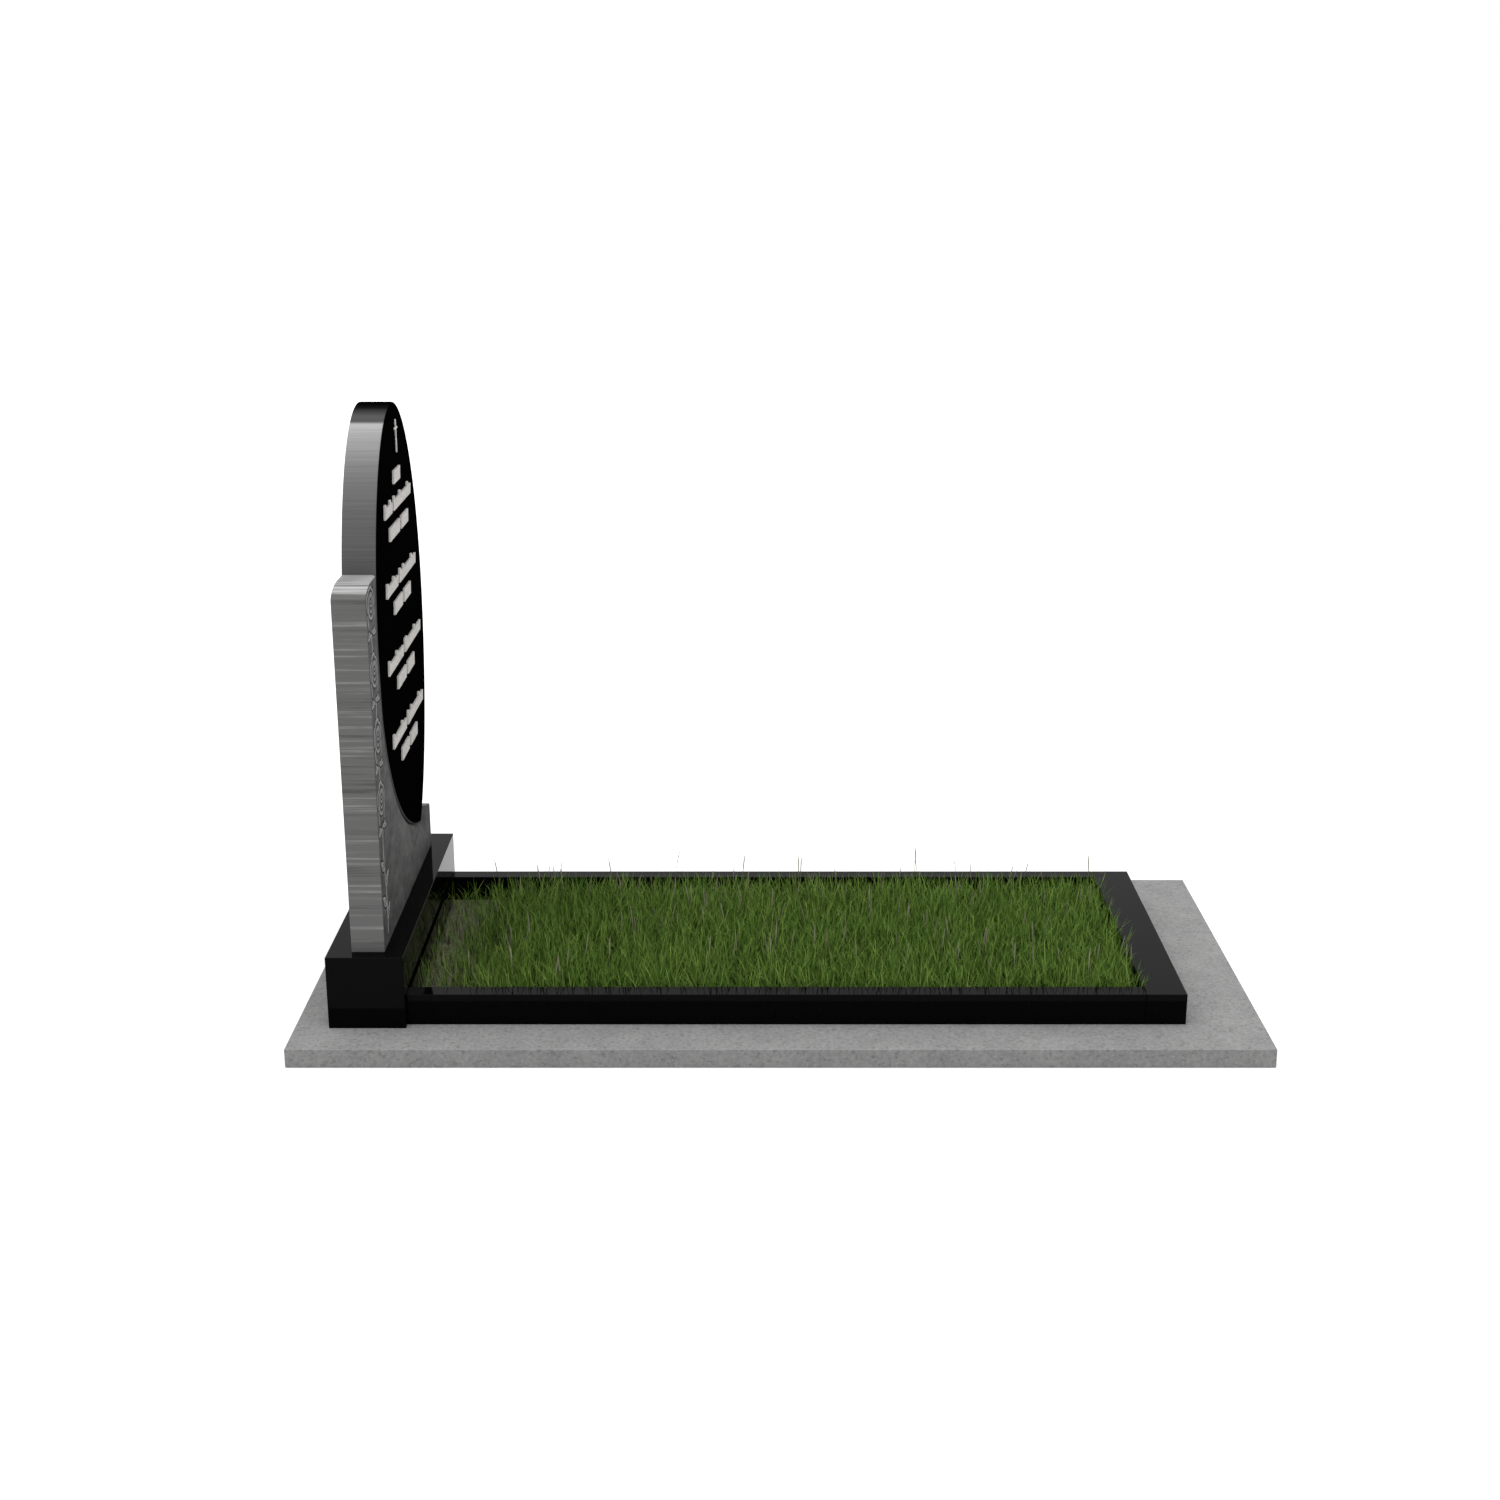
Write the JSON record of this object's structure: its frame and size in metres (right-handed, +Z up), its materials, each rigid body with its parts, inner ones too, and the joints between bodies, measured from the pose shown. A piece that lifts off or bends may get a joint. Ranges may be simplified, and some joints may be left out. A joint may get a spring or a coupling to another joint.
{
  "type": "headstone",
  "caption": "Oval black granite headstone held in a grey surround carved with roses, on a base block, with a low kerb set and grassed grave bed on a stone slab.",
  "frame": {"origin": "middle of the slab's underside", "axes": "+Z up, +Y from the foot of the grave to the headstone, so the inscribed face looks along -Y and +X is on the right for someone who reads it"},
  "size_m": [1.059, 2.2, 1.3914],
  "materials": {
    "black_granite": "mirror-polished black granite, edges of the headstone honed",
    "grey_granite": "fine-sawn grey granite with carved relief",
    "slab_stone": "flamed fine-grained light grey stone",
    "inscription_paint": "matt warm off-white on the raised strokes and cross",
    "soil": "dry crumbly soil",
    "grass": "living grass blades"
  },
  "bodies": {
    "root": {"foundation_slab": "slab_stone", "base_block": "black_granite", "oval_tablet": "black_granite", "rose_surround": "grey_granite", "left_kerb": "black_granite", "right_kerb": "black_granite", "foot_kerb": "black_granite", "head_strip": "black_granite", "soil_bed": "soil", "grass": "grass"}
  },
  "joints": []
}
